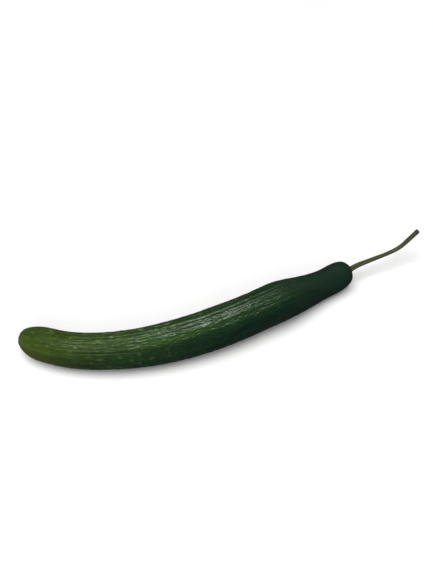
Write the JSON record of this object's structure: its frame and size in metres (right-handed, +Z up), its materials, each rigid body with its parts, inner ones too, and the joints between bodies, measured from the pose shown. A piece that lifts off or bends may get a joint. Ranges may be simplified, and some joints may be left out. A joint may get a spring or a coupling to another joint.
{
  "type": "cucumber",
  "caption": "Long, gently curved ribbed green cucumber lying on its side, with a slim neck and a long bent stalk at one end.",
  "frame": {"origin": "middle of the footprint of the whole lying cucumber, on the surface it lies on", "axes": "+X along its length, from the blossom end towards the stalk end; +Z up"},
  "size_m": [0.3878, 0.1755, 0.0399],
  "materials": {
    "skin": "satin",
    "stalk": "matte"
  },
  "bodies": {
    "root": {"fruit": "skin", "stem": "stalk"}
  },
  "joints": []
}
